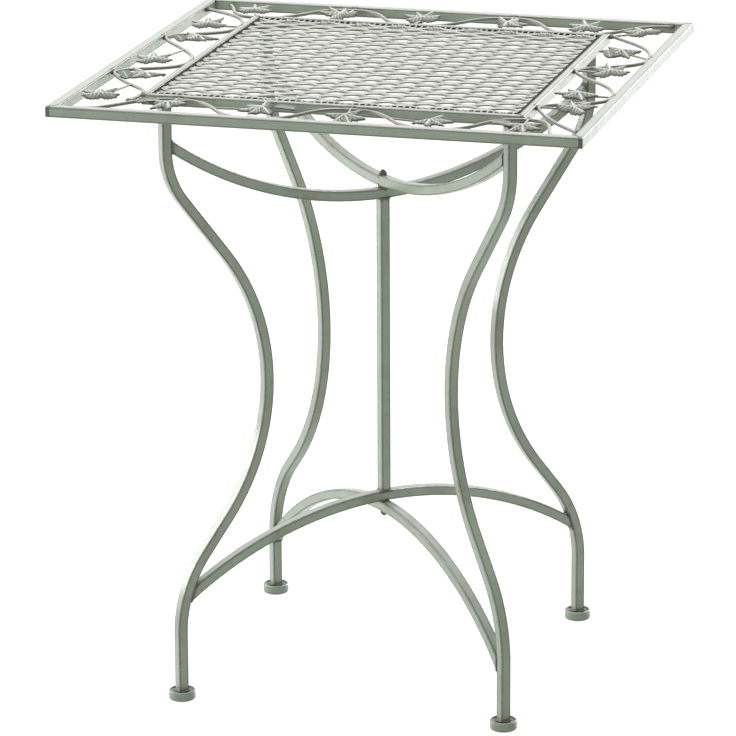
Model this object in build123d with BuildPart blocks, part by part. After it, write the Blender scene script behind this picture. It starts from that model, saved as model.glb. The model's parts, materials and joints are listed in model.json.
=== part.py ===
from build123d import *
import os
from math import cos, radians, sin, sqrt

os.makedirs("parts", exist_ok=True)

# Folding bistro table: a square expanded mesh top with a vine border on two crossing frames.
# Millimetres, +Z up. The origin is on the floor, on the vertical axis that the two frames fold about.
# The front of the table faces -Y.

# Square bar used for the legs, arcs, rod and rim
bar = 12.0
bar_corner = 1.2

# Heights
floor_of_foot = 3.0
top_underside = 706.0
top_height = 718.0

# Top plan: half sizes to outer faces, and the width of the flat bar of the inner frame
rim_half = 300.0
inner_half = 217.0
inner_width = 8.0

# Leg centre line, as distance from the fold axis and height
# The back left leg is bent closer to the rod than the other three.
foot_reach = 269.4
waist_reach = 86.0
close_waist_reach = 48.0
head_reach = 278.5
low_bend = 130.8
waist_bend = 364.9
high_bend = 617.1
bend_radii = (149.9, 255.3, 97.0)

# Arcs between the legs: centre height and radius of the centre line
swag_a_centre = 1031.4
swag_a_radius = 465.0
swag_b_centre = 1070.7
swag_b_radius = 489.8
arch_a_centre = -262.5
arch_a_radius = 464.6
arch_b_centre = -173.3
arch_b_radius = 362.3

# How far the lower arches reach before they meet the middle of a leg; the swags meet it at the head
arch_a_reach = 263.7
arch_b_reach = 269.4

# Crossing heights on the fold axis, taken at the bars' faces
swag_a_top = swag_a_centre - swag_a_radius + bar / 2
swag_b_base = swag_b_centre - swag_b_radius - bar / 2
arch_a_base = arch_a_centre + arch_a_radius - bar / 2
arch_b_top = arch_b_centre + arch_b_radius + bar / 2

# Pivot hardware
stud_radius = 2.5
pivot_clearance = 0.07
stud_grip = 9.0
washer_radius = 6.0
face_gap = 0.06
nut_flats = 8.0
nut_height = 4.0
stud_end = 2.2

# Feet
foot_radius = 15.5
foot_height = 11.0

# Directions of the two frames, in degrees from +X, each pointing at one of its two legs
frame_a_angle = 45.0
frame_b_angle = 135.0


def upright(angle):
    """Vertical plane through the fold axis: local x runs outwards at the angle, local y is height."""
    direction = (cos(radians(angle)), sin(radians(angle)), 0)
    normal = (sin(radians(angle)), -cos(radians(angle)), 0)
    return Plane(origin=(0, 0, 0), x_dir=direction, z_dir=normal)


def section_at(path, angle):
    """Plane across the start of a path that lies in the upright plane at the angle."""
    normal = (sin(radians(angle)), -cos(radians(angle)), 0)
    return Plane(origin=path @ 0, x_dir=normal, z_dir=path % 0)


def make_leg(angle, waist, pin_hole):
    """One bent leg, standing in the plane at the angle, with an optional blind hole in its upper end."""
    with BuildPart() as leg:
        with BuildLine(upright(angle)) as line:
            FilletPolyline(
                (foot_reach, floor_of_foot),
                (foot_reach, low_bend),
                (waist, waist_bend),
                (head_reach, high_bend),
                (head_reach, top_underside),
                radius=bend_radii,
            )
        with BuildSketch(section_at(line.line, angle)):
            RectangleRounded(bar, bar, bar_corner)
        sweep(path=line.line)
        if pin_hole:
            with BuildSketch(Plane.XY.offset(top_underside)):
                with Locations((head_reach * cos(radians(angle)), head_reach * sin(radians(angle)))):
                    Circle(pin_radius)
            extrude(amount=-pin_grip, mode=Mode.SUBTRACT)
    return leg.part


def make_arc(angle, centre, radius, reach, hangs, legs, hole_from, hole_depth, hole_radius):
    """Arc of square bar between two legs, cut to fit them, with a hole on the fold axis."""
    rise = sqrt(radius**2 - reach**2)
    side = -1 if hangs else 1
    with BuildPart() as arc:
        with BuildLine(upright(angle)) as line:
            ThreePointArc(
                (-reach, centre + side * rise),
                (0, centre + side * radius),
                (reach, centre + side * rise),
            )
        with BuildSketch(section_at(line.line, angle)):
            RectangleRounded(bar, bar, bar_corner)
        sweep(path=line.line)
        for leg in legs:
            add(leg, mode=Mode.SUBTRACT)
        with BuildSketch(Plane.XY.offset(hole_from)):
            Circle(hole_radius)
        extrude(amount=hole_depth, mode=Mode.SUBTRACT)
    return arc.part


def make_foot(angle):
    """Round foot with a rounded rim, a groove on top and a square socket for the leg."""
    centre = (foot_reach * cos(radians(angle)), foot_reach * sin(radians(angle)))
    groove_outer = 12.8
    groove_inner = 9.4
    groove_depth = 1.6
    with BuildPart() as foot:
        with BuildSketch():
            with Locations(centre):
                Circle(foot_radius)
        extrude(amount=foot_height)
        fillet(foot.edges().group_by(Axis.Z)[-1], radius=1.6)
        fillet(foot.edges().group_by(Axis.Z)[0], radius=2.4)
        with BuildSketch(Plane.XY.offset(foot_height)):
            with Locations(centre):
                Circle(groove_outer)
                Circle(groove_inner, mode=Mode.SUBTRACT)
        extrude(amount=-groove_depth, mode=Mode.SUBTRACT)
        with BuildSketch(Plane.XY.offset(floor_of_foot)):
            with Locations(Location(centre, angle)):
                RectangleRounded(bar, bar, bar_corner)
        extrude(amount=foot_height, mode=Mode.SUBTRACT)
    return foot.part


def keep(part, name):
    """Label a piece and write it as its own file."""
    part.label = name
    export_step(part, "parts/" + name + ".step")


# Locating pins that hold the top on the fixed frame
pin_radius = 2.5
pin_grip = 12.0
pin_rise = 3.6
plate_thickness = 3.0

# Fixed frame

leg_front_left = make_leg(frame_a_angle + 180, waist_reach, True)
leg_back_right = make_leg(frame_a_angle, waist_reach, True)
fixed_legs = (leg_front_left, leg_back_right)
upper_swag_a = make_arc(
    frame_a_angle,
    swag_a_centre,
    swag_a_radius,
    head_reach,
    True,
    fixed_legs,
    swag_a_top + 1,
    -stud_grip - 1,
    stud_radius,
)
lower_arch_a = make_arc(
    frame_a_angle,
    arch_a_centre,
    arch_a_radius,
    arch_a_reach,
    False,
    fixed_legs,
    arch_a_base - 1,
    stud_grip + 1,
    stud_radius,
)
keep(leg_front_left, "leg_front_left")
keep(leg_back_right, "leg_back_right")
keep(upper_swag_a, "upper_swag_a")
keep(lower_arch_a, "lower_arch_a")

# The rod starts and ends a little inside the arcs and is then cut to their curves
rod_entry = 0.5
with BuildPart() as centre_rod:
    with BuildSketch(Plane.XY.offset(arch_a_base + bar - rod_entry)):
        RectangleRounded(bar, bar, bar_corner, rotation=frame_a_angle)
    extrude(amount=swag_a_top - arch_a_base - 2 * bar + 2 * rod_entry)
    add(upper_swag_a, mode=Mode.SUBTRACT)
    add(lower_arch_a, mode=Mode.SUBTRACT)
keep(centre_rod.part, "centre_rod")

with BuildPart() as locating_pins:
    with BuildSketch(Plane.XY.offset(top_underside - pin_grip)):
        with PolarLocations(head_reach, 2, start_angle=frame_a_angle):
            Circle(pin_radius)
    extrude(amount=pin_grip + pin_rise)
keep(locating_pins.part, "locating_pins")

keep(make_foot(frame_a_angle + 180), "foot_front_left")
keep(make_foot(frame_a_angle), "foot_back_right")

# Folding frame

leg_back_left = make_leg(frame_b_angle, close_waist_reach, False)
leg_front_right = make_leg(frame_b_angle + 180, waist_reach, False)
folding_legs = (leg_back_left, leg_front_right)
upper_swag_b = make_arc(
    frame_b_angle,
    swag_b_centre,
    swag_b_radius,
    head_reach,
    True,
    folding_legs,
    swag_b_base - 1,
    bar + 2,
    stud_radius + pivot_clearance,
)
lower_arch_b = make_arc(
    frame_b_angle,
    arch_b_centre,
    arch_b_radius,
    arch_b_reach,
    False,
    folding_legs,
    arch_b_top + 1,
    -bar - 2,
    stud_radius + pivot_clearance,
)
keep(leg_back_left, "leg_back_left")
keep(leg_front_right, "leg_front_right")
keep(upper_swag_b, "upper_swag_b")
keep(lower_arch_b, "lower_arch_b")
keep(make_foot(frame_b_angle), "foot_back_left")
keep(make_foot(frame_b_angle + 180), "foot_front_right")

# Pivots: a stud, a washer and a nut at each crossing

upper_nut_seat = swag_b_base + bar + 2 * face_gap
lower_nut_seat = arch_b_top - bar - 2 * face_gap

with BuildPart() as upper_pivot_stud:
    with BuildSketch(Plane.XY.offset(swag_a_top - stud_grip)):
        Circle(stud_radius)
    extrude(amount=upper_nut_seat + nut_height + stud_end - swag_a_top + stud_grip)
    chamfer(upper_pivot_stud.edges().group_by(Axis.Z)[-1], length=0.6)
keep(upper_pivot_stud.part, "upper_pivot_stud")

with BuildPart() as lower_pivot_stud:
    with BuildSketch(Plane.XY.offset(lower_nut_seat - nut_height - stud_end)):
        Circle(stud_radius)
    extrude(amount=arch_a_base + stud_grip - lower_nut_seat + nut_height + stud_end)
    chamfer(lower_pivot_stud.edges().group_by(Axis.Z)[0], length=0.6)
keep(lower_pivot_stud.part, "lower_pivot_stud")

with BuildPart() as upper_pivot_washer:
    with BuildSketch(Plane.XY.offset(swag_a_top + face_gap)):
        Circle(washer_radius)
        Circle(stud_radius, mode=Mode.SUBTRACT)
    extrude(amount=swag_b_base - swag_a_top - 2 * face_gap)
keep(upper_pivot_washer.part, "upper_pivot_washer")

with BuildPart() as lower_pivot_washer:
    with BuildSketch(Plane.XY.offset(arch_b_top + face_gap)):
        Circle(washer_radius)
        Circle(stud_radius, mode=Mode.SUBTRACT)
    extrude(amount=arch_a_base - arch_b_top - 2 * face_gap)
keep(lower_pivot_washer.part, "lower_pivot_washer")


def make_nut(seat, rises):
    """Hexagon nut on the fold axis, starting at the seat and running up or down from it."""
    with BuildPart() as nut:
        with BuildSketch(Plane.XY.offset(seat)):
            RegularPolygon(nut_flats / 2, 6, major_radius=False)
            Circle(stud_radius, mode=Mode.SUBTRACT)
        extrude(amount=nut_height if rises else -nut_height)
    return nut.part


keep(make_nut(upper_nut_seat, True), "upper_pivot_nut")
keep(make_nut(lower_nut_seat, False), "lower_pivot_nut")

# Top: mitred rim and inner frame

side_names = ("front", "right", "back", "left")
side_angles = (0, 90, 180, 270)


def make_side_bar(half, width, angle):
    """Mitred bar along one side of a square; the front side has angle 0."""
    with BuildPart() as side:
        with BuildSketch(Plane.XY.offset(top_underside)):
            with BuildLine():
                Polyline(
                    (-half, -half),
                    (half, -half),
                    (half - width, -half + width),
                    (-half + width, -half + width),
                    close=True,
                )
            make_face()
        extrude(amount=bar)
        fillet(side.edges().filter_by(Axis.X), radius=bar_corner)
    return side.part.rotate(Axis.Z, angle)


for name, angle in zip(side_names, side_angles):
    keep(make_side_bar(rim_half, bar, angle), "rim_" + name)
    keep(make_side_bar(inner_half, inner_width, angle), "inner_" + name)

# Corner plates under the mesh panel, one over each leg; the two over the fixed legs take the pins

opening_half = inner_half - inner_width
plate_side = 34.0

with BuildPart() as corner_plates:
    with BuildSketch(Plane.XY.offset(top_underside)):
        for east, north in ((1, 1), (-1, 1), (-1, -1), (1, -1)):
            with BuildLine():
                Polyline(
                    (east * opening_half, north * opening_half),
                    (east * (opening_half - plate_side), north * opening_half),
                    (east * opening_half, north * (opening_half - plate_side)),
                    close=True,
                )
            make_face()
        with PolarLocations(head_reach, 2, start_angle=frame_a_angle):
            Circle(pin_radius + pivot_clearance, mode=Mode.SUBTRACT)
    extrude(amount=plate_thickness)
keep(corner_plates.part, "corner_plates")

# Mesh panel: a sheet with rows of pointed oval openings, each row half a pitch along from the next

mesh_thickness = 2.4
mesh_base = 715.0
binding_width = 12.5
mesh_pitch_along = 44.0
mesh_pitch_across = 25.4
mesh_columns = 11
long_rows = 16
short_rows = 15
opening_length = 38.0
opening_width = 15.2
opening_radius = (opening_length**2 + opening_width**2) / (4 * opening_width)

with BuildSketch() as mesh_opening:
    with Locations((0, opening_radius - opening_width / 2)):
        Circle(opening_radius)
    with Locations((0, opening_width / 2 - opening_radius)):
        Circle(opening_radius, mode=Mode.INTERSECT)

with BuildPart() as mesh_panel:
    with BuildSketch(Plane.XY.offset(mesh_base)):
        Rectangle(2 * opening_half, 2 * (opening_half - binding_width))
        for shift, rows in ((mesh_pitch_along / 4, long_rows), (-mesh_pitch_along / 4, short_rows)):
            with Locations((shift, 0)):
                with GridLocations(mesh_pitch_along, mesh_pitch_across, mesh_columns, rows):
                    add(mesh_opening.sketch, mode=Mode.SUBTRACT)
    extrude(amount=mesh_thickness)
keep(mesh_panel.part, "mesh_panel")

# Bindings along the front and back of the panel: a flat strip with short ribs across it

rib_pitch = 7.2
rib_width = 3.4
rib_count = 57
binding_base = 713.5
strip_top = 715.6


def make_binding(angle):
    """Ribbed strip between the panel and the inner bar of one side; the ribs end level with the bar."""
    middle = -opening_half + binding_width / 2
    with BuildPart() as binding:
        with BuildSketch(Plane.XY.offset(binding_base)):
            with Locations((0, middle)):
                Rectangle(2 * opening_half, binding_width)
        extrude(amount=strip_top - binding_base)
        with BuildSketch(Plane.XY.offset(strip_top)):
            with Locations((0, middle)):
                with GridLocations(rib_pitch, 1, rib_count, 1):
                    Rectangle(rib_width, binding_width)
        extrude(amount=top_height - strip_top)
    return binding.part.rotate(Axis.Z, angle)


keep(make_binding(0), "binding_front")
keep(make_binding(180), "binding_back")

# Vine border: wavy round wire between the two frames, with thin stalks that carry the leaves.
# Positions on a side are (along the side, away from the middle of the table), as if that side were the front.

wire_radius = 2.1
stalk_radius = 1.2
vine_height = 714.4
leaf_base = vine_height + wire_radius
leaf_thickness = 1.5
inner_touch = inner_half + wire_radius
outer_touch = rim_half - bar - wire_radius

# Each run of wire is a list of (along, away, heading in degrees)
vine_runs = {
    "front": [
        [
            (-276, outer_touch, 5),
            (-174, inner_touch, 0),
            (-70, outer_touch, 0),
            (24, inner_touch, 0),
            (130, outer_touch, 0),
            (222, inner_touch, 0),
            (264, 285, -55),
        ],
    ],
    "right": [
        [(-262, 285, 45), (-160, inner_touch, 20)],
        [(-160, inner_touch, -20), (-96, outer_touch, 0), (26, inner_touch, 20)],
        [(26, inner_touch, -20), (102, outer_touch, 0), (216, 222, 40)],
    ],
    "back": [
        [
            (-276, outer_touch, 5),
            (-174, inner_touch, 0),
            (-84, outer_touch, 0),
            (22, inner_touch, 0),
            (112, outer_touch, 0),
            (216, inner_touch, 0),
            (266, 280, -55),
        ],
    ],
    "left": [
        [(-250, 285, 60), (-158, inner_touch, 0), (-86, outer_touch, -20)],
        [(-86, outer_touch, 20), (-24, 243, 34), (36, inner_touch, 0), (104, outer_touch, -20)],
        [(104, outer_touch, 20), (162, 246, 42), (204, 221, 0), (236, 226, -20)],
    ],
}

# Each leaf is (along, away, turn in degrees, length, start of stalk along, start of stalk away)
leaf_layout = {
    "front": [
        (-176, 249, -70, 29, -174, inner_touch),
        (-68, 248, 200, 29, -124, 251),
        (28, 260, -60, 27, 24, inner_touch),
        (124, 261, -40, 27, 74, 251),
        (225, 259, -75, 27, 222, inner_touch),
    ],
    "right": [
        (-165, 260, -30, 28, -160, inner_touch),
        (-95, 250, 150, 29, -96, outer_touch),
        (21, 260, 20, 28, 26, inner_touch),
        (130, 250, 160, 29, 102, outer_touch),
        (236, 254, 40, 28, 216, 222),
    ],
    "back": [
        (-182, 246, -70, 28, -174, inner_touch),
        (-86, 244, 200, 28, -84, outer_touch),
        (18, 248, -60, 28, 22, inner_touch),
        (118, 246, -40, 28, 112, outer_touch),
        (226, 246, -75, 28, 216, inner_touch),
    ],
    "left": [
        (-158, 256, 200, 27, -158, inner_touch),
        (-84, 244, -20, 30, -86, outer_touch),
        (41, 259, 200, 27, -24, 243),
        (117, 244, -20, 30, 104, outer_touch),
        (226, 261, 200, 27, 162, 246),
    ],
}

# Each small oval leaf is (side, along, away, turn in degrees); it lies on the edge of a lobed leaf
small_leaf_layout = [
    ("front", -44, 244, -10),
    ("front", 202, 257, 160),
    ("front", -199, 248, 20),
    ("left", -70, 264, 30),
    ("left", 129, 265, 30),
    ("right", 112, 238, 20),
]
small_leaf_length = 13.0
small_leaf_width = 7.5


def side_point(along, away):
    """Point on the front side in plan."""
    return (along, -away)


def heading(angle):
    """Unit direction in plan."""
    return (cos(radians(angle)), sin(radians(angle)))


def make_vine(runs, leaves, angle):
    """The wavy wire of one side with the stalks that reach its leaves."""
    stalk_lift = wire_radius - stalk_radius
    with BuildPart() as vine:
        for run in runs:
            with BuildLine() as line:
                for start, end in zip(run[:-1], run[1:]):
                    Spline(
                        side_point(start[0], start[1]),
                        side_point(end[0], end[1]),
                        tangents=[heading(start[2]), heading(end[2])],
                    )
            with BuildSketch(Plane(origin=line.line @ 0, z_dir=line.line % 0)):
                Circle(wire_radius)
            sweep(path=line.line)
        for along, away, turn, length, from_along, from_away in leaves:
            with BuildLine() as stalk:
                Line(
                    (*side_point(from_along, from_away), stalk_lift),
                    (*side_point(along, away), stalk_lift),
                )
            with BuildSketch(Plane(origin=stalk.line @ 0, z_dir=stalk.line % 0)):
                Circle(stalk_radius)
            sweep(path=stalk.line)
    return vine.part.translate((0, 0, vine_height)).rotate(Axis.Z, angle)


# Lobed leaf outline: (angle from the tip in degrees, reach as a share of the leaf's length)
leaf_half = [(22, 0.62), (50, 0.92), (78, 0.55), (108, 0.78), (146, 0.62)]


def leaf_points(along, away, turn, length):
    """Closed outline of one leaf, its tip at the turn angle from the side's direction."""
    mirrored = [(-angle, reach) for angle, reach in reversed(leaf_half)]
    ring = [(0, 1.0)] + leaf_half + [(180, 0.34)] + mirrored
    middle = side_point(along, away)
    points = []
    for angle, reach in ring:
        step = heading(angle + turn)
        points.append((middle[0] + length * reach * step[0], middle[1] + length * reach * step[1]))
    return points


def make_leaves(leaves, angle):
    """All lobed leaves of one side, as separate flat plates lying on the wire."""
    with BuildPart() as group:
        for along, away, turn, length, from_along, from_away in leaves:
            with BuildSketch(Plane.XY.offset(leaf_base)):
                with BuildLine():
                    Spline(*leaf_points(along, away, turn, length), periodic=True)
                make_face()
            extrude(amount=leaf_thickness)
    return group.part.rotate(Axis.Z, angle)


for name, angle in zip(side_names, side_angles):
    keep(make_vine(vine_runs[name], leaf_layout[name], angle), "vine_" + name)
    keep(make_leaves(leaf_layout[name], angle), "leaves_" + name)

with BuildPart() as small_leaves:
    for name, along, away, turn in small_leaf_layout:
        side_turn = side_angles[side_names.index(name)]
        with BuildSketch(Plane.XY.offset(leaf_base + leaf_thickness)):
            with Locations(Location((0, 0, 0), (0, 0, side_turn)) * Location(side_point(along, away), turn)):
                Ellipse(small_leaf_length, small_leaf_width)
        extrude(amount=leaf_thickness)
keep(small_leaves.part, "small_leaves")
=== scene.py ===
import json
import math
import random

import bpy
import numpy as np
from mathutils import Matrix, Vector
from mathutils.bvhtree import BVHTree


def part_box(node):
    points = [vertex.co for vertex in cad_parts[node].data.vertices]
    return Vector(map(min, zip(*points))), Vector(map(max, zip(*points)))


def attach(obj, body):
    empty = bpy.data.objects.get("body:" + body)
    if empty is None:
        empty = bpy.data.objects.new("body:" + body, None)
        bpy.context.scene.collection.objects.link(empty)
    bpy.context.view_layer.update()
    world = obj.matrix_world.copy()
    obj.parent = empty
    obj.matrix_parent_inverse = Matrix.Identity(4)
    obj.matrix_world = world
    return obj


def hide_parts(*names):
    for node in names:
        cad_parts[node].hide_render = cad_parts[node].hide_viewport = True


# Looks of the bistro table: antique sage paint, an expanded mesh top with ribbed bindings, a border of
# veined leaves on wires, and weld beads. Lengths are in metres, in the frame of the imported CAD, unless a
# comment says mm. The front of the table faces -Y.

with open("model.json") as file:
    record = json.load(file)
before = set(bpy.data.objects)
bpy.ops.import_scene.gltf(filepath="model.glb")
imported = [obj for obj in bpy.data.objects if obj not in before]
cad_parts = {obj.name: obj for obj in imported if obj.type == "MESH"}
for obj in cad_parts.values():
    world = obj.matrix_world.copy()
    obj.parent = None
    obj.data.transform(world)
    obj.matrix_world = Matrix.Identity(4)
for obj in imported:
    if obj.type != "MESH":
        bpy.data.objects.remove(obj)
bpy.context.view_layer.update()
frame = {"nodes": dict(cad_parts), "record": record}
nodes = frame["nodes"]

MM = 0.001


# ---------------------------------------------------------------- materials


def linear(red, green, blue):
    """Screen colour from 0 to 255 as a linear colour with alpha."""
    channels = []
    for value in (red, green, blue):
        share = value / 255
        channels.append(share / 12.92 if share <= 0.04045 else ((share + 0.055) / 1.055) ** 2.4)
    return (*channels, 1.0)


class Shader:
    """Small helper that adds nodes to one material and joins them."""

    def __init__(self, name):
        self.material = bpy.data.materials.new(name)
        self.material.use_nodes = True
        self.tree = self.material.node_tree
        self.principled = self.tree.nodes["Principled BSDF"]
        self.place = self.add("ShaderNodeTexCoord").outputs["Object"]

    def add(self, kind, **settings):
        node = self.tree.nodes.new(kind)
        for key, value in settings.items():
            setattr(node, key, value)
        return node

    def feed(self, socket, source):
        """Joins a node's output to the socket, or sets the socket to a plain value."""
        if isinstance(source, bpy.types.NodeSocket):
            self.tree.links.new(source, socket)
        else:
            socket.default_value = source

    def surface(self, **values):
        """Feeds inputs of the principled shader, named with _ for each space."""
        for name, source in values.items():
            self.feed(self.principled.inputs[name.replace("_", " ")], source)

    def noise(self, scale, detail, rough=0.55):
        node = self.add("ShaderNodeTexNoise")
        self.feed(node.inputs["Vector"], self.place)
        node.inputs["Scale"].default_value = scale
        node.inputs["Detail"].default_value = detail
        node.inputs["Roughness"].default_value = rough
        return node.outputs["Fac"]

    def span(self, value, low, high, out_low=0.0, out_high=1.0):
        """Value stretched so that low becomes out_low and high becomes out_high, and held between them."""
        node = self.add("ShaderNodeMapRange")
        node.clamp = True
        self.feed(node.inputs["Value"], value)
        node.inputs["From Min"].default_value = low
        node.inputs["From Max"].default_value = high
        node.inputs["To Min"].default_value = out_low
        node.inputs["To Max"].default_value = out_high
        return node.outputs["Result"]

    def maths(self, operation, first, second):
        node = self.add("ShaderNodeMath", operation=operation)
        self.feed(node.inputs[0], first)
        self.feed(node.inputs[1], second)
        return node.outputs[0]

    def times(self, first, second):
        return self.maths("MULTIPLY", first, second)

    def blend(self, share, first, second):
        node = self.add("ShaderNodeMix", data_type="RGBA")
        self.feed(node.inputs["Factor"], share)
        self.feed(node.inputs["A"], first)
        self.feed(node.inputs["B"], second)
        return node.outputs["Result"]

    def along(self, vector, axis):
        """One component of a vector."""
        split = self.add("ShaderNodeSeparateXYZ")
        self.feed(split.inputs[0], vector)
        return split.outputs[axis]

    def normal(self):
        return self.add("ShaderNodeNewGeometry").outputs["Normal"]

    def edges(self, radius):
        """0 on flat faces and 1 within the radius of an outer edge."""
        node = self.add("ShaderNodeAmbientOcclusion", samples=16, inside=True)
        node.inputs["Distance"].default_value = radius
        return self.span(node.outputs["AO"], 0.82, 0.71)

    def hollows(self, distance):
        """About 0 in the open and towards 1 in corners and crevices, for painted shade."""
        node = self.add("ShaderNodeAmbientOcclusion", samples=6)
        node.inputs["Distance"].default_value = distance
        return self.span(node.outputs["AO"], 0.95, 0.35)

    def facing_up(self):
        """0 on upright and lower faces and 1 on level upper faces."""
        return self.span(self.along(self.normal(), "Z"), 0.55, 0.95)

    def facing_front(self):
        """0 on upper and back faces and 1 on faces that lean to the front of the table."""
        return self.span(self.along(self.normal(), "Y"), -0.15, -0.7)

    def from_height(self, start, end):
        """0 at the start height of the table's frame and 1 at the end height."""
        return self.span(self.along(self.place, "Z"), start, end)

    def light_shade_mark(self):
        """The painted light mark stored on a leaf's points: 0 for painted shade in creases and on the
        border, 1 for a painted highlight on the veins.
        """
        return self.add("ShaderNodeAttribute", attribute_name="light_shade_mark").outputs["Fac"]

    def bump(self, height, strength, distance):
        node = self.add("ShaderNodeBump")
        node.inputs["Strength"].default_value = strength
        node.inputs["Distance"].default_value = distance
        self.feed(node.inputs["Height"], height)
        return node.outputs["Normal"]


RUBBED = linear(128, 122, 104)
# Dark tone of specks, and of the painted shade in hollows, in creases and on faces that lean to the front
DARK = linear(66, 62, 52)
EDGE_BROWN = linear(60, 54, 43)
# Pale tone of the painted highlight on upper faces
TOP_HIGHLIGHT_TONE = linear(206, 206, 199)


def antique_paint(
    name, base, second, highlight_tone, hollow_shade_reach, top_highlight, rough, gloss, edge_width=0.0, veined=False, under=0.0
):
    """Satin paint: two tones, rubbed brown patches, dark edges, a pale painted highlight on upper faces,
    painted shade in hollows.

    The gloss is the weight of the clear coat, and under is how much painted shade darkens the faces that
    lean to the front.
    For leaves, the paint has dark painted shade in the creases and a pale painted highlight on the veins in
    place of dark edges.
    """
    s = Shader(name)
    broad = s.noise(7, 3)
    patches = s.noise(38, 5, 0.6)
    fine = s.noise(420, 3, 0.6)
    colour = s.blend(s.span(broad, 0.36, 0.64), base, second)
    rubbed = s.times(s.span(s.noise(17, 6, 0.68), 0.5, 0.7), 0.6)
    colour = s.blend(rubbed, colour, RUBBED)
    specks = s.times(s.span(s.noise(150, 3, 0.6), 0.62, 0.72), 0.35)
    colour = s.blend(specks, colour, DARK)
    # Painted shade: faces that lean to the front turn darker
    if under:
        colour = s.blend(s.times(s.facing_front(), under), colour, DARK)
    # Painted highlight: upper faces turn paler, in patches
    pale = s.times(s.facing_up(), s.span(patches, 0.3, 0.6, top_highlight * 0.6, top_highlight))
    colour = s.blend(pale, colour, highlight_tone)
    if veined:
        # Painted shade in the creases and on the border, painted highlight on the veins
        mark = s.light_shade_mark()
        colour = s.blend(s.times(s.span(mark, 0.42, 0.05), 0.92), colour, DARK)
        colour = s.blend(s.times(s.span(mark, 0.5, 0.95), 0.8), colour, highlight_tone)
    else:
        worn = s.times(s.edges(edge_width), s.span(s.noise(60, 4), 0.3, 0.55, 0.82, 1.0))
        colour = s.blend(worn, colour, EDGE_BROWN)
    # Painted shade: darker in corners and crevices
    colour = s.blend(s.times(s.hollows(hollow_shade_reach), 0.8), colour, DARK)
    relief = s.maths("ADD", s.times(patches, 0.6), s.times(fine, 0.4))
    s.surface(
        Base_Color=colour,
        Roughness=s.span(patches, 0.3, 0.7, rough - 0.06, rough + 0.12),
        Specular_IOR_Level=0.5,
        Coat_Weight=gloss,
        Coat_Roughness=0.18,
        Normal=s.bump(relief, 0.35, 0.5 * MM),
    )
    return s.material


# Each paint below sets the strength of its painted highlight on upper faces and the reach of its painted
# shade in hollows; the wire and mesh paints also add painted shade to their front faces.
sage = antique_paint(
    "sage_paint",
    base=linear(149, 165, 144),
    second=linear(144, 157, 137),
    highlight_tone=linear(182, 182, 178),
    hollow_shade_reach=5 * MM,
    top_highlight=0.8,
    rough=0.32,
    gloss=0.45,
    edge_width=4.0 * MM,
)
foot_look = antique_paint(
    "foot_paint",
    base=linear(138, 154, 134),
    second=linear(131, 144, 125),
    highlight_tone=linear(186, 188, 181),
    hollow_shade_reach=3 * MM,
    top_highlight=0.4,
    rough=0.34,
    gloss=0.4,
    edge_width=1.6 * MM,
)
wire_look = antique_paint(
    "wire_paint",
    base=linear(128, 130, 116),
    second=linear(114, 113, 100),
    highlight_tone=TOP_HIGHLIGHT_TONE,
    hollow_shade_reach=3 * MM,
    top_highlight=0.6,
    rough=0.4,
    gloss=0.3,
    edge_width=0.5 * MM,
    under=0.5,
)
weld_look = antique_paint(
    "weld_paint",
    base=linear(88, 86, 75),
    second=linear(66, 64, 55),
    highlight_tone=TOP_HIGHLIGHT_TONE,
    hollow_shade_reach=3 * MM,
    top_highlight=0.05,
    rough=0.5,
    gloss=0.0,
    edge_width=0.5 * MM,
)
mesh_look = antique_paint(
    "mesh_paint",
    base=linear(160, 167, 156),
    second=linear(176, 178, 168),
    highlight_tone=TOP_HIGHLIGHT_TONE,
    hollow_shade_reach=2.0 * MM,
    top_highlight=0.4,
    rough=0.36,
    gloss=0.3,
    edge_width=0.6 * MM,
    under=0.8,
)
# The pale tone of this paint is the painted highlight on the veins
leaf_look = antique_paint(
    "antique_leaf",
    base=linear(98, 106, 96),
    second=linear(120, 126, 115),
    highlight_tone=linear(212, 216, 208),
    hollow_shade_reach=3 * MM,
    top_highlight=0.0,
    rough=0.5,
    gloss=0.0,
    veined=True,
)


def ribbed_paint(low, high):
    """Mesh paint with painted shade: it turns dark green below a height, in the gaps between the ribs."""
    s = Shader("ribbed_paint")
    patches = s.noise(120, 4)
    colour = s.blend(s.span(patches, 0.35, 0.65), linear(168, 174, 162), linear(196, 198, 188))
    # Painted shade on level faces low in the gaps
    gaps = s.times(s.from_height(high, low), s.facing_up())
    s.surface(
        Base_Color=s.blend(gaps, colour, linear(12, 18, 14)),
        Roughness=s.span(patches, 0.3, 0.7, 0.6, 0.85),
        Specular_IOR_Level=0.04,
        Normal=s.bump(patches, 0.3, 0.3 * MM),
    )
    return s.material


def edge_shade_paint():
    """Painted shade: dark dull colour of the strips that stand for the shadow in the gaps beside the mesh.
    """
    s = Shader("edge_shade_paint")
    patches = s.noise(140, 4)
    s.surface(
        Base_Color=s.blend(s.span(patches, 0.35, 0.7), linear(34, 34, 29), linear(74, 73, 64)),
        Roughness=s.span(patches, 0.3, 0.7, 0.7, 0.9),
        Specular_IOR_Level=0.1,
        Normal=s.bump(patches, 0.3, 0.3 * MM),
    )
    return s.material


def dark_steel():
    """Oxidised steel of the studs, nuts and washers, bright along its edges."""
    s = Shader("dark_hardware")
    patches = s.noise(160, 4)
    colour = s.blend(s.span(patches, 0.35, 0.65), linear(62, 62, 54), linear(98, 96, 84))
    s.surface(
        Base_Color=s.blend(s.edges(0.6 * MM), colour, linear(150, 148, 138)),
        Metallic=0.6,
        Roughness=s.span(patches, 0.3, 0.7, 0.38, 0.6),
        Normal=s.bump(patches, 0.3, 0.2 * MM),
    )
    return s.material


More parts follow.
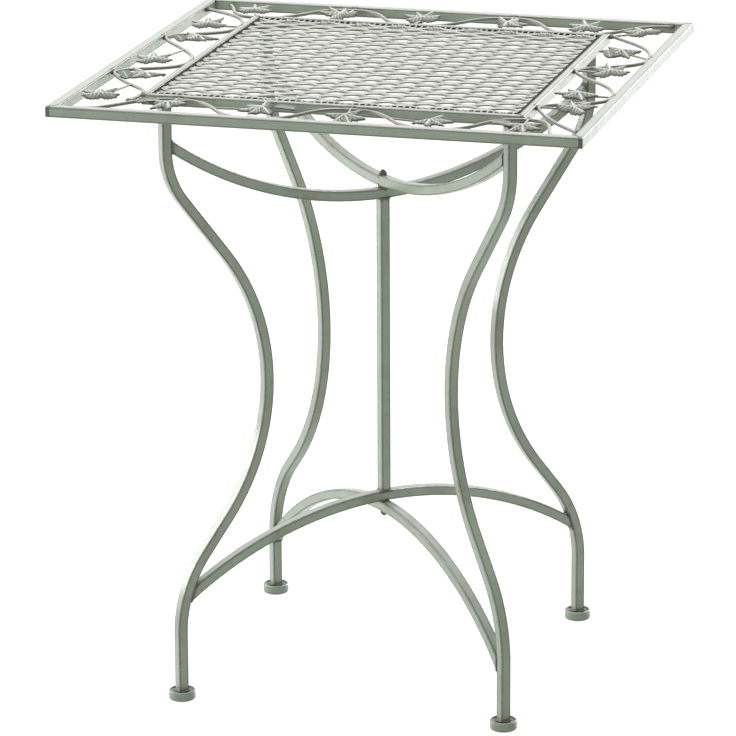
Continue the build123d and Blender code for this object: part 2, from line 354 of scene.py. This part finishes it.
SLOT_LOOKS = {
    "sage_paint": sage,
    "mesh_paint": mesh_look,
    "antique_leaf": leaf_look,
    "dark_hardware": dark_steel(),
}

# Nodes whose look isn't that of their slot, by the first word of the node's name
NODE_LOOKS = {"vine": wire_look, "foot": foot_look}

for entry in frame["record"]["subparts"]:
    node_name = entry["node"]
    look = NODE_LOOKS.get(node_name.split("_")[0], SLOT_LOOKS[entry["material_slot"]])
    nodes[node_name].data.materials.clear()
    nodes[node_name].data.materials.append(look)


# ---------------------------------------------------------------- mesh helpers


def new_piece(name, points, faces, slot, body="top", replaces=(), look=None, marks=()):
    """Smooth-shaded mesh object that rides on a body and stands for some CAD nodes."""
    mesh = bpy.data.meshes.new(name)
    mesh.from_pydata([tuple(p) for p in points], [], faces)
    mesh.validate()
    mesh.polygons.foreach_set("use_smooth", [True] * len(mesh.polygons))
    if marks:
        mesh.attributes.new("light_shade_mark", "FLOAT", "POINT").data.foreach_set("value", marks)
    mesh.materials.append(look or SLOT_LOOKS[slot])
    piece = bpy.data.objects.new(name, mesh)
    bpy.context.scene.collection.objects.link(piece)
    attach(piece, body)
    if replaces:
        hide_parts(*replaces)


class Builder:
    """Collects points and faces of many small shells into one mesh."""

    def __init__(self):
        self.points = []
        self.faces = []
        self.marks = []

    def loft(self, rings, closed=False):
        """Skin over equal rings of points. An open skin gets a fan over each end."""
        start = len(self.points)
        size = len(rings[0])
        for ring in rings:
            self.points.extend(ring)
        count = len(rings)
        for i in range(count if closed else count - 1):
            low = start + i * size
            high = start + (i + 1) % count * size
            for j in range(size):
                k = (j + 1) % size
                self.faces.append((low + j, low + k, high + k, high + j))
        if not closed:
            for ring_start, flip in ((start, True), (start + (count - 1) * size, False)):
                middle = len(self.points)
                ring = self.points[ring_start : ring_start + size]
                self.points.append(tuple(np.mean(np.array(ring, float), axis=0)))
                for j in range(size):
                    a = ring_start + j
                    b = ring_start + (j + 1) % size
                    self.faces.append((middle, b, a) if flip else (middle, a, b))


def full_turn(count):
    """Equal turns in radians that go round once."""
    return np.linspace(0, 2 * math.pi, count, endpoint=False)


def band_section(half_width, half_thickness, tilt, count=12):
    """Rounded cross section of a strand leaning by the tilt, as (across, up) pairs going round once."""
    turns = full_turn(count)
    flat = half_width * np.sign(np.cos(turns)) * np.abs(np.cos(turns)) ** 0.5
    thick = half_thickness * np.sign(np.sin(turns)) * np.abs(np.sin(turns)) ** 0.7
    lean = math.radians(tilt)
    return [
        (w * math.cos(lean) - t * math.sin(lean), w * math.sin(lean) + t * math.cos(lean))
        for w, t in zip(flat, thick)
    ]


# ---------------------------------------------------------------- mesh panel

# Length of one opening along a row, distance between strands, and how far a strand waves to either side
MESH_ALONG = 44.0 * MM
MESH_ROW = 12.7 * MM
MESH_WAVE = 4.4 * MM
STEPS_PER_WAVE = 20

# Section of a strand: its lean and the change in it are in degrees, and the sag is in mm
STRAND_WIDTH = 4.6 * MM
STRAND_THICKNESS = 1.9 * MM
STRAND_TILT = 22
STRAND_TWIST = 5
STRAND_SAG = 0.25

# Dark strips of painted shade beside the mesh: their height varies by a share of itself, in waves given in
# radians per metre
SHADE_STRIP_WIDTH = 3.8 * MM
SHADE_STRIP_RISE = 0.3 * MM
SHADE_STRIP_STEPS = 80
SHADE_STRIP_UNEVEN = 0.12
SHADE_STRIP_RIPPLES = 900


def expanded_mesh():
    """Wavy strands side by side that meet by turns with the one behind and the one in front."""
    low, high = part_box("mesh_panel")
    middle = (low.z + high.z) / 2
    build = Builder()
    rows = int((high.y - MESH_WAVE) / MESH_ROW)
    steps = int((high.x - low.x) / MESH_ALONG * STEPS_PER_WAVE)
    rng = random.Random(21)
    for row in range(-rows - 1, rows + 1):
        sign = -1 if row % 2 == 0 else 1
        sag = rng.uniform(-STRAND_SAG, STRAND_SAG) * MM
        rings = []
        for x in np.linspace(low.x + SHADE_STRIP_WIDTH, high.x - SHADE_STRIP_WIDTH, steps + 1):
            turn = 2 * math.pi * (x - MESH_ALONG / 4) / MESH_ALONG
            y = MESH_ROW * (row + 0.5) + sign * MESH_WAVE * math.cos(turn)
            twist = STRAND_TWIST * math.sin(turn * 2 + row)
            section = band_section(STRAND_WIDTH / 2, STRAND_THICKNESS / 2, STRAND_TILT + twist)
            rings.append([(x, y + across, middle + sag + up) for across, up in section])
        build.loft(rings)
    new_piece("expanded_mesh", build.points, build.faces, "mesh_paint", replaces=("mesh_panel",))


def panel_edge_shade():
    """Dark uneven strips of painted shade in the gaps between the ends of the strands and the two side bars.
    """
    low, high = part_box("mesh_panel")
    build = Builder()
    half_height = (high.z - low.z) / 2
    middle_z = (low.z + high.z) / 2 + SHADE_STRIP_RISE
    for middle_x in (low.x + SHADE_STRIP_WIDTH / 2, high.x - SHADE_STRIP_WIDTH / 2):
        rings = []
        for y in np.linspace(low.y, high.y, SHADE_STRIP_STEPS):
            thickness = half_height * (1 + SHADE_STRIP_UNEVEN * math.sin(y * SHADE_STRIP_RIPPLES))
            section = band_section(SHADE_STRIP_WIDTH / 2, thickness, 0, 8)
            rings.append([(middle_x + across, y, middle_z + up) for across, up in section])
        build.loft(rings)
    new_piece("panel_edge_shade", build.points, build.faces, "mesh_paint", look=edge_shade_paint())


expanded_mesh()
panel_edge_shade()

# Levels are above the binding's underside. The gaps between the ribs get dark painted shade below the shade
# level.
RIB_PITCH = 7.2 * MM
RIB_COUNT = 57
RIB_WIDTH = 1.6 * MM
RIB_HALF_THICKNESS = 0.7 * MM
RIB_END_GAP = 0.2 * MM
RIB_END_LEVEL = 2.7 * MM
RIB_ARCH = 0.8 * MM
RIB_STEPS = 9
STRIP_STEPS = 60
GAP_SHADE_BELOW = 3.3 * MM
GAP_CLEAR_ABOVE = 3.9 * MM

# Section of the strip under the ribs, as shares of the binding's depth and height
STRIP_PROFILE = [(-0.5, 0.0), (0.5, 0.0), (0.5, 0.58), (0.44, 0.64), (-0.44, 0.64), (-0.5, 0.58)]


def binding(name, node):
    """Edge of the panel: a thin strip with rounded ribs over it."""
    low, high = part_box(node)
    build = Builder()
    middle_y = (low.y + high.y) / 2
    depth = high.y - low.y
    height = high.z - low.z
    strip = []
    for x in np.linspace(low.x, high.x, STRIP_STEPS):
        strip.append([(x, middle_y + depth * q, low.z + height * up) for q, up in STRIP_PROFILE])
    build.loft(strip)
    section = band_section(RIB_WIDTH / 2, RIB_HALF_THICKNESS, 0)
    for index in range(RIB_COUNT):
        x = (index - (RIB_COUNT - 1) / 2) * RIB_PITCH
        rings = []
        for share in np.linspace(0, 1, RIB_STEPS):
            y = low.y + RIB_END_GAP + (depth - 2 * RIB_END_GAP) * share
            arch = math.sin(math.pi * share) ** 0.3 if 0 < share < 1 else 0.0
            z = low.z + RIB_END_LEVEL + RIB_ARCH * arch
            taper = 0.75 + 0.25 * arch
            rings.append([(x + q * taper, y, z + up * taper) for q, up in section])
        build.loft(rings)
    look = ribbed_paint(low.z + GAP_SHADE_BELOW, low.z + GAP_CLEAR_ABOVE)
    new_piece(name, build.points, build.faces, "mesh_paint", replaces=(node,), look=look)


binding("ribbed_edge_front", "binding_front")
binding("ribbed_edge_back", "binding_back")

# ---------------------------------------------------------------- leaves

SIDES = ("front", "right", "back", "left")

# Lobed leaves as (along the side, away from the middle, turn, length), in mm and degrees
LEAVES = {
    "front": [
        (-176, 249, -70, 29),
        (-68, 248, 200, 29),
        (28, 260, -60, 27),
        (124, 261, -40, 27),
        (225, 259, -75, 27),
    ],
    "right": [
        (-165, 260, -30, 28),
        (-95, 250, 150, 29),
        (21, 260, 20, 28),
        (130, 250, 160, 29),
        (236, 254, 40, 28),
    ],
    "back": [
        (-182, 246, -70, 28),
        (-86, 244, 200, 28),
        (18, 248, -60, 28),
        (118, 246, -40, 28),
        (226, 246, -75, 28),
    ],
    "left": [
        (-158, 256, 200, 27),
        (-84, 244, -20, 30),
        (41, 259, 200, 27),
        (117, 244, -20, 30),
        (226, 261, 200, 27),
    ],
}

# Small oval leaves as (side, along the side, away from the middle, turn), in mm and degrees
SMALL_LEAVES = [
    ("front", -44, 244, -10),
    ("front", 202, 257, 160),
    ("front", -199, 248, 20),
    ("left", -70, 264, 30),
    ("left", 129, 265, 30),
    ("right", 112, 238, 20),
]
OVAL_LENGTH = 13 * MM
OVAL_BEND = 0.1
LEAF_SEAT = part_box("leaves_front")[0].z
LEAF_LIFT = 1.6 * MM
OVAL_LIFT = 2.2 * MM
LEAF_THICKNESS = 1.1 * MM

# Points round a leaf and rings outwards from its middle
LOBED_GRID = (168, 22)
OVAL_GRID = (48, 12)

# Painted light mark of the middle point, and where the border, with its painted shade, starts as a share of
# the reach
MIDDLE_MARK = 0.8
BORDER_START = 0.82

# Half outline as (degrees from the tip, reach as a share of the length), with tips and gaps by turns
LEAF_HALF = [(0, 1.0), (24, 0.48), (50, 0.95), (76, 0.42), (106, 0.82), (148, 0.5), (180, 0.28)]
LOBES = [0, 50, -50, 106, -106]

# Relief of a lobe, in shares of the leaf's length
FOLD_SLOPE = 0.4
FOLD_REACH = 0.24
VEIN_WIDTH = 0.04
VEIN_HEIGHT = 0.03
SIDE_VEIN_HEIGHT = 0.01
SIDE_VEIN_TURNS = 36


def leaf_reach(degrees):
    """Outline of a lobed leaf: pointed lobes, round gaps and small teeth."""
    angle = abs((degrees + 180) % 360 - 180)
    for (first, first_reach), (second, second_reach) in zip(LEAF_HALF[:-1], LEAF_HALF[1:]):
        if first <= angle <= second:
            share = (angle - first) / (second - first)
            from_tip = share if first_reach > second_reach else 1 - share
            tip, gap = max(first_reach, second_reach), min(first_reach, second_reach)
            reach = gap + (tip - gap) * (1 - from_tip**0.6)
            teeth = 0.09 * abs(math.sin(math.radians(angle * 13))) * (1 - 0.6 * from_tip)
            return reach + teeth - 0.04


def oval_reach(turn):
    """Outline of an oval leaf with a point at each end."""
    return 0.5 + 0.5 * abs(math.cos(turn)) ** 2.2


def leaf_relief(x, y):
    """Height and painted light mark of a leaf of length 1: each lobe is a fold with a raised vein and side
    veins.
    """
    nearest, along = 1.0, 0.0
    for lobe in LOBES:
        direction = (math.cos(math.radians(lobe)), math.sin(math.radians(lobe)))
        run = x * direction[0] + y * direction[1]
        aside = abs(-x * direction[1] + y * direction[0])
        if run > 0 and aside < nearest:
            nearest, along = aside, run
    vein = math.exp(-((nearest / VEIN_WIDTH) ** 2))
    ripple = math.sin((along - 0.9 * nearest) * SIDE_VEIN_TURNS) * min(1, nearest / 0.06)
    crease = min(1, max(0, nearest - 0.1) / 0.14)
    height = -FOLD_SLOPE * min(nearest, FOLD_REACH) + VEIN_HEIGHT * vein + SIDE_VEIN_HEIGHT * ripple
    # The mark is painted light: a highlight on veins and ripples, painted shade in the creases between lobes
    mark = 0.5 + 0.5 * vein + 0.24 * ripple - 0.45 * crease
    return height, mark


def oval_relief(x, y):
    """Height and painted light mark of a small oval leaf of half length 1, cupped along one vein."""
    vein = math.exp(-((y / 0.06) ** 2))
    ripple = math.cos(x * 30 - abs(y) * 20)
    return 0.5 * y * y + 0.03 * vein - 0.012 * ripple, 0.42 + 0.4 * vein - 0.16 * ripple


def leaf_rings(length, bend, twist, lobed, rng):
    """Rings of (x, y, height, mark) of the upper skin of one leaf about its middle, tip along +X."""
    around, outward = LOBED_GRID if lobed else OVAL_GRID
    shift = rng.uniform(-3, 3)
    rings = []
    for j in range(1, outward + 1):
        ring = []
        border = max(0, (j / outward - BORDER_START) / 0.18)
        for i in range(around):
            degrees = 360 * i / around
            turn = math.radians(degrees)
            reach = leaf_reach(degrees) if lobed else oval_reach(turn)
            rho = reach * (j / outward) ** 0.85
            x, y = rho * math.cos(turn), rho * math.sin(turn)
            relief, mark = leaf_relief(x, y) if lobed else oval_relief(x, y)
            ruffle = 0.035 * rho * rho * math.sin(turn * 9 + shift) if lobed else 0.0
            droop = -bend * rho * rho
            sway = 0.04 * rho * math.sin(turn * 2 + shift) + twist * x * 0.1
            height = 0.05 + droop + relief + ruffle + sway - 0.02 * border**2
            # Towards the border the mark drops, for painted shade along the leaf's edge
            ring.append((x * length, y * length, height * length, min(1, max(0, mark - 0.6 * border))))
        rings.append(ring)
    return rings


def add_leaf(build, place, length, bend, twist, lobed, rng):
    """One closed leaf: an upper skin with veins and a lower skin a sheet's thickness below it."""
    rings = leaf_rings(length, bend, twist, lobed, rng)
    around = len(rings[0])
    start = len(build.points)
    middle_height = float(np.mean([p[2] for p in rings[0]]))
    for drop in (0.0, LEAF_THICKNESS):
        build.points.append(tuple(place @ Vector((0, 0, middle_height - drop))))
        build.marks.append(MIDDLE_MARK)
        for ring in rings:
            build.points.extend(tuple(place @ Vector((x, y, z - drop))) for x, y, z, mark in ring)
            build.marks.extend(mark for x, y, z, mark in ring)
    skin = 1 + len(rings) * around
    for base, flip in ((start, False), (start + skin, True)):
        for i in range(around):
            k = (i + 1) % around
            fan = (base, base + 1 + i, base + 1 + k)
            build.faces.append(fan[::-1] if flip else fan)
            for j in range(len(rings) - 1):
                low = base + 1 + j * around
                high = low + around
                quad = (low + i, high + i, high + k, low + k)
                build.faces.append(quad[::-1] if flip else quad)
    outer = start + 1 + (len(rings) - 1) * around
    for i in range(around):
        k = (i + 1) % around
        build.faces.append((outer + i, outer + skin + i, outer + skin + k, outer + k))


def leaf_place(side, along, away, turn, lift, tilt):
    """Place of a leaf on the vine border; tilt lowers the edge that faces the front of the table."""
    side_angle = 90 * SIDES.index(side)
    spot = Matrix.Rotation(math.radians(side_angle), 4, "Z") @ Vector((along * MM, -away * MM, 0))
    spin = Matrix.Rotation(math.radians(turn + side_angle), 4, "Z")
    lean = Matrix.Rotation(math.radians(tilt), 4, "X")
    return Matrix.Translation((spot.x, spot.y, LEAF_SEAT + lift)) @ lean @ spin


def leaf_piece(name, build, node):
    new_piece(name, build.points, build.faces, "antique_leaf", replaces=(node,), marks=build.marks)


def lobed_leaves(side):
    """The lobed leaves of one side of the border."""
    rng = random.Random(11 + SIDES.index(side))
    build = Builder()
    for along, away, turn, length in LEAVES[side]:
        place = leaf_place(side, along, away, turn, LEAF_LIFT, rng.uniform(2, 8))
        add_leaf(build, place, length * MM, rng.uniform(0.0, 0.1), rng.uniform(-1, 1), True, rng)
    leaf_piece("vine_leaves_" + side, build, "leaves_" + side)


def oval_leaves():
    """The small leaves of all sides."""
    rng = random.Random(5)
    build = Builder()
    for side, along, away, turn in SMALL_LEAVES:
        place = leaf_place(side, along, away, turn, OVAL_LIFT, rng.uniform(2, 9))
        add_leaf(build, place, OVAL_LENGTH, OVAL_BEND, 0.0, False, rng)
    leaf_piece("oval_leaves", build, "small_leaves")


for side in SIDES:
    lobed_leaves(side)
oval_leaves()

# ---------------------------------------------------------------- weld beads

BAR_HALF = 6.0 * MM
SOFT_CORNER = 0.76
ARC_BEAD = 1.15 * MM
ROD_BEAD = 1.3 * MM
ROD_BEAD_INSET = 0.2 * MM
BEAD_SIDES = 8
ARC_POINTS = 36
ROD_POINTS = 40

# The four arcs as (legs at +1 and -1 times the frame's direction, direction in degrees, height of the
# centre in mm, radius in mm, whether it hangs, body)
ARCS = (
    (("leg_back_right", "leg_front_left"), 45, 1031.4, 465.0, True, "frame_a"),
    (("leg_back_right", "leg_front_left"), 45, -262.5, 464.6, False, "frame_a"),
    (("leg_back_left", "leg_front_right"), 135, 1070.7, 489.8, True, "frame_b"),
    (("leg_back_left", "leg_front_right"), 135, -173.3, 362.3, False, "frame_b"),
)

# Search for the leg along an arc: where it starts, how far it steps and what counts as a touch, in mm.
# The point that feels for the leg is drawn in to this share of its distance aside.
SEARCH_START = 200
SEARCH_STEP = 0.25
SEARCH_COUNT = 400
SEARCH_INSET = 0.8
TOUCH_GAP = 0.35


def tree_of(node):
    """Search tree over one CAD node's faces."""
    mesh = nodes[node].data
    return BVHTree.FromPolygons([v.co for v in mesh.vertices], [p.vertices for p in mesh.polygons])


def square_reach(turn):
    """Distance from the middle of a square bar to its outline with softened corners."""
    return BAR_HALF / max(abs(math.cos(turn)), abs(math.sin(turn)), SOFT_CORNER)


def bead_loop(build, spots, radius, rng):
    """Lumpy round bead along a closed loop of points."""
    rings = []
    count = len(spots)
    for i, spot in enumerate(spots):
        ahead = (spots[(i + 1) % count] - spots[i - 1]).normalized()
        side = ahead.orthogonal().normalized()
        other = ahead.cross(side)
        swell = radius * (1 + 0.18 * math.sin(i * 2.4) + rng.uniform(-0.12, 0.12))
        ring = []
        for turn in full_turn(BEAD_SIDES):
            ring.append(tuple(spot + side * (swell * math.cos(turn)) + other * (swell * math.sin(turn))))
        rings.append(ring)
    build.loft(rings, closed=True)


def arc_end(leg, outward, centre, radius, hangs):
    """Points where the outline of an arc's bar first meets a leg on its way outwards."""
    across = Vector((0, 0, 1)).cross(outward)
    tree = tree_of(leg)
    spots = []
    for index in range(ARC_POINTS):
        turn = 2 * math.pi * index / ARC_POINTS
        reach = square_reach(turn)
        aside = math.cos(turn) * reach
        line_radius = radius * MM + math.sin(turn) * reach
        for step in range(SEARCH_COUNT):
            r = (SEARCH_START + step * SEARCH_STEP) * MM
            z = centre * MM + (-1 if hangs else 1) * math.sqrt(line_radius**2 - r * r)
            on_arc = outward * r + Vector((0, 0, z))
            gap = tree.find_nearest(on_arc + across * (aside * SEARCH_INSET))[3]
            if gap < TOUCH_GAP * MM:
                spots.append(on_arc + across * aside)
                break
    return spots


def rod_end(height):
    """Outline of the centre rod at a height."""
    across = Vector((math.cos(math.pi / 4), math.sin(math.pi / 4), 0))
    other = Vector((0, 0, 1)).cross(across).normalized()
    spots = []
    for turn in full_turn(ROD_POINTS):
        reach = square_reach(turn)
        middle = Vector((0, 0, height))
        spots.append(middle + across * (math.cos(turn) * reach) + other * (math.sin(turn) * reach))
    return spots


# Where the vine touches the frames, as (side, along the side, away from the middle) in mm
TOUCHES = [
    ("front", -174, 217), ("front", -70, 288), ("front", 24, 217), ("front", 130, 288), ("front", 222, 217),
    ("back", -174, 217), ("back", -84, 288), ("back", 22, 217), ("back", 112, 288), ("back", 216, 217),
    ("right", -160, 217), ("right", -96, 288), ("right", 26, 217), ("right", 102, 288), ("right", 215, 219),
    ("left", -158, 217), ("left", -86, 288), ("left", 36, 217), ("left", 104, 288), ("left", 204, 219),
    ("front", -276, 287), ("front", 264, 286), ("right", -262, 286), ("back", -276, 287), ("back", 266, 281),
    ("left", -250, 286), ("left", 236, 226),
]
VINE_LOW, VINE_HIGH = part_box("vine_front")
VINE_HEIGHT = (VINE_LOW.z + VINE_HIGH.z) / 2
TOUCH_RADIUS = 2.8 * MM
TOUCH_HALF_LENGTH = 3.8 * MM
TOUCH_SIDES = 14
TOUCH_STEPS = 9


def touch_bead(build, side, along, away, rng):
    """Small oval bead where a wire is welded to a bar."""
    turn = Matrix.Rotation(math.radians(90 * SIDES.index(side)), 3, "Z")
    middle = turn @ Vector((along * MM, -away * MM, 0)) + Vector((0, 0, VINE_HEIGHT))
    rings = []
    for share in np.linspace(-1, 1, TOUCH_STEPS):
        size = TOUCH_RADIUS * math.sqrt(max(0.02, 1 - share * share)) * (1 + rng.uniform(-0.06, 0.06))
        ring = []
        for t in full_turn(TOUCH_SIDES):
            step = Vector((share * TOUCH_HALF_LENGTH, size * math.cos(t), size * 1.05 * math.sin(t)))
            ring.append(tuple(middle + turn @ step))
        rings.append(ring)
    build.loft(rings)


def weld_beads():
    """One group of beads for each body, in the order: arcs, rod, wires."""
    rng = random.Random(3)
    beads = {"frame_a": Builder(), "frame_b": Builder(), "top": Builder()}
    for legs, angle, centre, radius, hangs, body in ARCS:
        direction = Vector((math.cos(math.radians(angle)), math.sin(math.radians(angle)), 0))
        for leg, side in zip(legs, (1, -1)):
            spots = arc_end(leg, direction * side, centre, radius, hangs)
            bead_loop(beads[body], spots, ARC_BEAD, rng)
    rod_low, rod_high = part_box("centre_rod")
    for height in (rod_low.z + ROD_BEAD_INSET, rod_high.z - ROD_BEAD_INSET):
        bead_loop(beads["frame_a"], rod_end(height), ROD_BEAD, rng)
    for side, along, away in TOUCHES:
        touch_bead(beads["top"], side, along, away, rng)
    for body, build in beads.items():
        look = weld_look if body == "top" else sage
        new_piece("weld_beads_" + body, build.points, build.faces, "sage_paint", body=body, look=look)


weld_beads()

# ---------------------------------------------------------------- stage, light and camera

FLOOR_HALF = 14.0
FLOOR_DARKER = (0.34, 0.34, 0.34, 1)
FLOOR_LIGHTER = (0.36, 0.36, 0.36, 1)

# Glow of the floor and the world to the camera and in reflections, and as light on dull faces
FLOOR_GLOW, FLOOR_GLOW_DULL = 0.8, 0.12
WORLD_GLOW, WORLD_GLOW_DULL = 0.95, 0.2


def floor_paper():
    """Pale paper with a faint grain that throws little light on the table."""
    s = Shader("pale_floor")
    dull = s.add("ShaderNodeLightPath").outputs["Is Diffuse Ray"]
    s.surface(
        Base_Color=s.blend(s.noise(3, 3), FLOOR_DARKER, FLOOR_LIGHTER),
        Roughness=0.9,
        Emission_Color=(1, 1, 1, 1),
        Emission_Strength=s.span(dull, 0, 1, FLOOR_GLOW, FLOOR_GLOW_DULL),
    )
    return s.material


def lay_floor():
    """Large flat floor under the feet."""
    corners = [(x * FLOOR_HALF, y * FLOOR_HALF, 0) for x, y in ((-1, -1), (1, -1), (1, 1), (-1, 1))]
    mesh = bpy.data.meshes.new("pale_floor")
    mesh.from_pydata(corners, [], [(0, 1, 2, 3)])
    mesh.materials.append(floor_paper())
    floor = bpy.data.objects.new("pale_floor", mesh)
    bpy.context.scene.collection.objects.link(floor)


LAMP_TARGET = Vector((0, 0, 0.4))


def softbox(name, place, size, power):
    """Rectangular lamp that faces the table and doesn't show to the camera."""
    lamp = bpy.data.lights.new(name, "AREA")
    lamp.shape = "RECTANGLE"
    lamp.size, lamp.size_y = size
    lamp.energy = power
    holder = bpy.data.objects.new(name, lamp)
    holder.location = place
    holder.visible_camera = False
    holder.rotation_mode = "QUATERNION"
    holder.rotation_quaternion = (LAMP_TARGET - Vector(place)).to_track_quat("-Z", "Y")
    bpy.context.scene.collection.objects.link(holder)


def studio_world():
    """White surroundings that throw little light on dull faces."""
    world = bpy.data.worlds.new("studio")
    world.use_nodes = True
    tree = world.node_tree
    dull = tree.nodes.new("ShaderNodeLightPath").outputs["Is Diffuse Ray"]
    strength = tree.nodes.new("ShaderNodeMapRange")
    strength.inputs["To Min"].default_value = WORLD_GLOW
    strength.inputs["To Max"].default_value = WORLD_GLOW_DULL
    background = tree.nodes["Background"]
    tree.links.new(dull, strength.inputs["Value"])
    tree.links.new(strength.outputs["Result"], background.inputs["Strength"])
    background.inputs["Color"].default_value = (1, 1, 1, 1)
    bpy.context.scene.world = world


lay_floor()
softbox("overhead", (0, 0.3, 3.4), (1.6, 1.6), 80)
softbox("left_box", (-2.9, 0.1, 1.2), (1.8, 2.2), 80)
softbox("right_box", (1.7, 2.9, 1.3), (1.8, 2.2), 108)
softbox("front_fill", (-1.4, -3.6, 1.6), (2.0, 2.0), 46)
studio_world()
bpy.context.scene.view_settings.view_transform = "Standard"

# Camera angles in degrees, its place in metres and its focal length in pixels of the image
AZIMUTH, ELEVATION, ROLL = 15.403, 16.574, -0.282
CAMERA_PLACE = (1.267995, -4.670867, 1.796835)
FOCAL_PIXELS = 4353.39
IMAGE_WIDTH = 736
SENSOR_WIDTH = 36.0


def set_camera():
    """Camera from the right of the front, a little above the top."""
    azimuth, elevation, roll = (math.radians(a) for a in (AZIMUTH, ELEVATION, ROLL))
    level = math.cos(elevation)
    back = Vector((math.sin(azimuth) * level, -math.cos(azimuth) * level, math.sin(elevation)))
    right = Vector((math.cos(azimuth), math.sin(azimuth), 0))
    up = back.cross(right)
    rolled_right = right * math.cos(roll) + up * math.sin(roll)
    rolled_up = up * math.cos(roll) - right * math.sin(roll)
    lens = bpy.data.cameras.new("camera")
    lens.sensor_width = SENSOR_WIDTH
    lens.lens = SENSOR_WIDTH * FOCAL_PIXELS / IMAGE_WIDTH
    lens.clip_end = 100
    camera = bpy.data.objects.new("camera", lens)
    stand = Matrix((rolled_right, rolled_up, back)).transposed().to_4x4()
    stand.translation = Vector(CAMERA_PLACE)
    camera.matrix_world = stand
    bpy.context.scene.collection.objects.link(camera)
    bpy.context.scene.camera = camera


set_camera()
